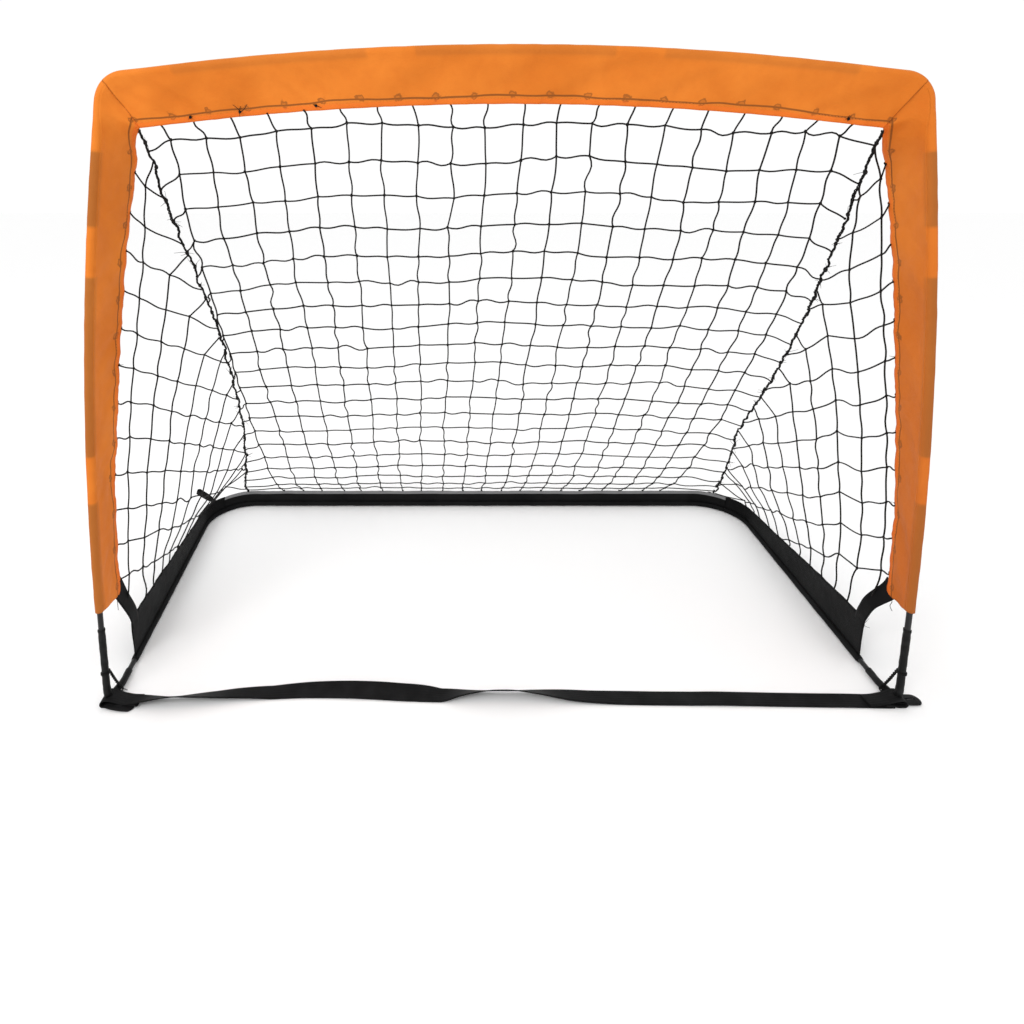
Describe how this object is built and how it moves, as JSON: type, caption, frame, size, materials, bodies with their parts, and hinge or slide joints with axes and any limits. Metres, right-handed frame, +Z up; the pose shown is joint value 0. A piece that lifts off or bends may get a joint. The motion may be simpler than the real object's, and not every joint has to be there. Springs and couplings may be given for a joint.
{
  "type": "portable soccer goal",
  "caption": "Portable soccer goal: a rod hoop in an orange sleeve, a rod base in black cloth, and a net between them. The hoop folds back onto the base.",
  "frame": {"origin": "on the ground, at the middle of the goal line, under the front ground strap", "axes": "+Z up, +X to the right along the goal line as a player facing the goal sees it, +Y back into the net"},
  "size_m": [1.3293, 0.6649, 0.97],
  "materials": {
    "fibreglass": "satin",
    "ferrule_steel": "satin",
    "black_plastic": "matte",
    "black_hose": "matte",
    "black_cord": "matte",
    "orange_cloth": "coated weave",
    "black_cloth": "coated weave",
    "net_string": "knotted string",
    "webbing": "ribbed weave"
  },
  "bodies": {
    "base": {"rear_rod_center": "fibreglass", "side_rod_front_left": "fibreglass", "side_rod_front_right": "fibreglass", "side_rod_back_left": "fibreglass", "side_rod_back_right": "fibreglass", "rear_rod_left": "fibreglass", "rear_rod_right": "fibreglass", "side_ferrule_left": "ferrule_steel", "side_ferrule_right": "ferrule_steel", "rear_ferrule_left": "ferrule_steel", "rear_ferrule_right": "ferrule_steel", "rear_elbow_left": "black_plastic", "rear_elbow_right": "black_plastic", "corner_hose_left": "black_hose", "corner_hose_right": "black_hose", "base_elastic_cord": "black_cord", "stay_cord_left": "black_cord", "stay_cord_right": "black_cord", "lacing_cord_left": "black_cord", "lacing_cord_right": "black_cord", "side_channel_left": "black_cloth", "side_channel_right": "black_cloth", "side_skirt_left": "black_cloth", "side_skirt_right": "black_cloth", "hem_band_left": "black_cloth", "hem_band_right": "black_cloth", "corner_pocket_left": "black_cloth", "corner_pocket_right": "black_cloth", "rear_channel": "black_cloth", "rear_skirt": "black_cloth", "roof_net": "net_string", "ground_strap": "webbing", "peg_loop_front_left": "webbing", "peg_loop_front_right": "webbing", "peg_loop_rear_left": "webbing", "peg_loop_rear_right": "webbing"},
    "front_hoop": {"crossbar_rod_center": "fibreglass", "hoop_elastic_cord": "black_cord", "crossbar_sleeve": "orange_cloth", "crossbar_rod_left": "fibreglass", "crossbar_rod_right": "fibreglass", "crossbar_ferrule_left": "ferrule_steel", "crossbar_ferrule_right": "ferrule_steel", "top_elbow_left": "black_plastic", "top_elbow_right": "black_plastic", "post_rod_lower_left": "fibreglass", "post_rod_lower_right": "fibreglass", "post_rod_middle_left": "fibreglass", "post_rod_middle_right": "fibreglass", "post_rod_upper_left": "fibreglass", "post_rod_upper_right": "fibreglass", "post_ferrule_lower_left": "ferrule_steel", "post_ferrule_lower_right": "ferrule_steel", "post_ferrule_upper_left": "ferrule_steel", "post_ferrule_upper_right": "ferrule_steel", "post_sleeve_left": "orange_cloth", "post_sleeve_right": "orange_cloth", "side_net_left": "net_string", "side_net_right": "net_string"}
  },
  "joints": [
    {"name": "hoop_fold", "type": "hinge", "parent": "base", "child": "front_hoop", "pos_m": [0, 0.014, 0.0202], "axis": [-1, 0, 0], "range_deg": [0, 86], "deforming": ["corner_hose_left", "corner_hose_right", "stay_cord_left", "stay_cord_right", "hem_band_left", "hem_band_right", "side_skirt_left", "side_skirt_right", "side_net_left", "side_net_right", "lacing_cord_left", "lacing_cord_right", "post_sleeve_left", "post_sleeve_right", "roof_net"]}
  ]
}
